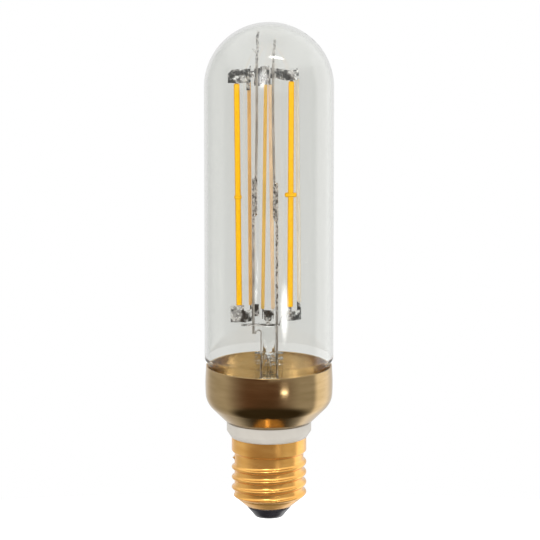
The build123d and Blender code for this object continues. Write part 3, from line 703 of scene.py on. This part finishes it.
def dress_all():
    finishes = bulb_finishes()
    scorched_glinting = {side: scorched_glinting_nickel(side) for side in ("left", "right")}
    leads = lead_nickel()
    crumple = crumple_rule()
    for part in frame["record"]["subparts"]:
        node, slot = part["node"], part["material_slot"]
        if node.startswith("filament_phosphor_"):
            coated_filament(node.removeprefix("filament_phosphor_"), finishes[slot])
        elif node == "gold_cup":
            gold_cup_piece(finishes[slot])
        elif "bracket" in node:
            crumpled_bracket(node, crumple, finishes[slot])
        elif node == "glass_envelope":
            glass_piece(finishes[slot])
        elif node.startswith("support_wire"):
            drawn_wire(node, scorched_glinting[node.split("_")[2]])
        elif node.startswith("lead_wire"):
            drawn_wire(node, leads)
        elif node in SMOOTH_NAMES:
            smooth_piece(node, slot, finishes[slot])
        else:
            dress(node, finishes[slot])


# Stage

def seen_straight(tree):
    """1 for a ray that has met nothing but clear glass, so that the paper shows white behind it."""
    path = add(tree, "ShaderNodeLightPath")
    depth = add(tree, "ShaderNodeMath", operation="ADD")
    tree.links.new(path.outputs["Glossy Depth"], depth.inputs[0])
    tree.links.new(path.outputs["Diffuse Depth"], depth.inputs[1])
    straight = add(tree, "ShaderNodeMath", {1: HALF_A_BOUNCE}, operation="LESS_THAN")
    tree.links.new(depth.outputs[0], straight.inputs[0])
    return straight.outputs[0]


def mirrored_once(tree):
    """1 for a ray that a polished surface has thrown back."""
    path = add(tree, "ShaderNodeLightPath")
    thrown = add(tree, "ShaderNodeMath", {1: HALF_A_BOUNCE}, operation="GREATER_THAN")
    tree.links.new(path.outputs["Glossy Depth"], thrown.inputs[0])
    return thrown.outputs[0]


def toward(tree, direction, axis):
    """How far a direction of the room lies along an axis."""
    node = add(tree, "ShaderNodeVectorMath", {1: Vector(axis).normalized()}, operation="DOT_PRODUCT")
    tree.links.new(direction, node.inputs[0])
    return node.outputs["Value"]


def room_seen_by_metal(tree, direction):
    """Pale window and wall behind the bulb, bright ceiling, and a dark room by and below the camera."""
    right = toward(tree, direction, (1.0, 0.0, 0.0))
    room = smooth_step(tree, right, *ROOM_SIDES, ROOM_LEFT, ROOM_RIGHT)
    for name, (axis, start, full, colour) in ROOM_PARTS.items():
        share = smooth_step(tree, toward(tree, direction, axis), start, full, 0.0, 1.0)
        if name == "camera_side":
            down = toward(tree, direction, (0.0, 0.0, -1.0))
            share = combined(tree, "MULTIPLY", share, smooth_step(tree, down, *SKYLINE, 0.0, 1.0))
        room = blended(tree, share, room, colour)
    return room


def studio_world():
    """White paper behind the bulb, even light on it, and a room for polished metal to mirror."""
    world = bpy.data.worlds.new("studio")
    bpy.context.scene.world = world
    world.use_nodes = True
    tree = world.node_tree
    tree.nodes.clear()
    place = add(tree, "ShaderNodeTexCoord")
    mirrored = room_seen_by_metal(tree, place.outputs["Generated"])
    even = (AMBIENT_LIGHT, AMBIENT_LIGHT, AMBIENT_LIGHT, 1.0)
    colour = blended(tree, mirrored_once(tree), even, mirrored)
    colour = blended(tree, seen_straight(tree), colour, WHITE)
    light = add(tree, "ShaderNodeBackground")
    tree.links.new(colour, light.inputs["Color"])
    end = add(tree, "ShaderNodeOutputWorld")
    tree.links.new(light.outputs[0], end.inputs["Surface"])


def paper_floor():
    """Round sheet of white paper below the bulb, seen from above only, which keeps the bulb's shadow."""
    work = bmesh.new()
    bmesh.ops.create_circle(work, cap_ends=True, segments=FLOOR_SEGMENTS, radius=FLOOR_RADIUS)
    bmesh.ops.translate(work, verts=work.verts, vec=(0.0, 0.0, -FLOOR_DROP))
    mesh = bpy.data.meshes.new("paper_floor")
    work.to_mesh(mesh)
    work.free()
    material = bpy.data.materials.new("paper")
    material.use_nodes = True
    tree = material.node_tree
    tree.nodes.clear()
    matt = add(tree, "ShaderNodeBsdfDiffuse", {"Color": PAPER_WHITE})
    glow = add(tree, "ShaderNodeEmission")
    strength = smooth_step(tree, seen_straight(tree), 0.0, 1.0, 0.0, PAPER_GLOW)
    tree.links.new(strength, glow.inputs["Strength"])
    both = add(tree, "ShaderNodeAddShader")
    tree.links.new(matt.outputs[0], both.inputs[0])
    tree.links.new(glow.outputs[0], both.inputs[1])
    clear = add(tree, "ShaderNodeBsdfTransparent")
    side = add(tree, "ShaderNodeNewGeometry")
    one_sided = add(tree, "ShaderNodeMixShader")
    tree.links.new(side.outputs["Backfacing"], one_sided.inputs["Fac"])
    tree.links.new(both.outputs[0], one_sided.inputs[1])
    tree.links.new(clear.outputs[0], one_sided.inputs[2])
    end = add(tree, "ShaderNodeOutputMaterial")
    tree.links.new(one_sided.outputs[0], end.inputs["Surface"])
    mesh.materials.append(material)
    floor = bpy.data.objects.new("paper_floor", mesh)
    bpy.context.scene.collection.objects.link(floor)
    floor.visible_glossy = False


def fade_rim(data):
    """Fades a lamp towards its rim, so that its reflection has no hard outline."""
    half = 0.5  # a lamp's own coordinates run from 0 to 1
    data.use_nodes = True
    tree = data.node_tree
    place = add(tree, "ShaderNodeNewGeometry")
    centred = add(tree, "ShaderNodeVectorMath", {1: (half, half, 0.0)}, operation="SUBTRACT")
    reach = add(tree, "ShaderNodeVectorMath", operation="LENGTH")
    tree.links.new(place.outputs["Parametric"], centred.inputs[0])
    tree.links.new(centred.outputs["Vector"], reach.inputs[0])
    strength = smooth_step(tree, reach.outputs["Value"], half, half - LAMP_FADE, 0.0, 1.0)
    tree.links.new(strength, tree.nodes["Emission"].inputs["Strength"])


def soft_lamp(name, toward_lamp, size, radiance):
    """Flat lamp that faces the bulb from a direction, with soft rims."""
    data = bpy.data.lights.new(name, "AREA")
    data.shape = "RECTANGLE"
    fade_rim(data)
    data.size, data.size_y = size
    data.energy = radiance * math.pi * size[0] * size[1]
    lamp = bpy.data.objects.new(name, data)
    bpy.context.scene.collection.objects.link(lamp)
    away = Vector(toward_lamp).normalized()
    level = Vector((0.0, 0.0, 1.0)).cross(away)
    if name == "ceiling_strip":
        level = Vector((1.0, 0.0, 0.0))  # the strip above the bulb runs from left to right
    level = (level - level.dot(away) * away).normalized()
    turn = Matrix((level, away.cross(level), away)).transposed()
    middle = (cad_low + cad_high) / 2
    lamp.matrix_world = Matrix.Translation(middle + away * LAMP_DISTANCE) @ turn.to_4x4()


def studio_lamps():
    for name, (direction, size, radiance) in LAMPS.items():
        soft_lamp(name, direction, size, radiance)


def product_camera():
    data = bpy.data.cameras.new("product_camera")
    data.sensor_width = SENSOR_WIDTH
    data.lens = SENSOR_WIDTH * CAMERA_DISTANCE / PICTURE_WIDTH
    camera = bpy.data.objects.new("product_camera", data)
    bpy.context.scene.collection.objects.link(camera)
    back = Vector((0.0, -math.cos(VIEW_ELEVATION), math.sin(VIEW_ELEVATION)))
    camera.location = Vector((AIM_SHIFT, 0.0, AIM_HEIGHT)) + back * CAMERA_DISTANCE
    camera.rotation_euler = back.to_track_quat("Z", "Y").to_euler()
    bpy.context.scene.camera = camera


dress_all()
weld_spots()
pinch_bubbles()
studio_world()
paper_floor()
studio_lamps()
product_camera()
bpy.context.scene.view_settings.view_transform = "Standard"
bpy.context.scene.cycles.max_bounces = LIGHT_BOUNCES
bpy.context.scene.cycles.transmission_bounces = LIGHT_BOUNCES
bpy.context.scene.cycles.glossy_bounces = LIGHT_BOUNCES
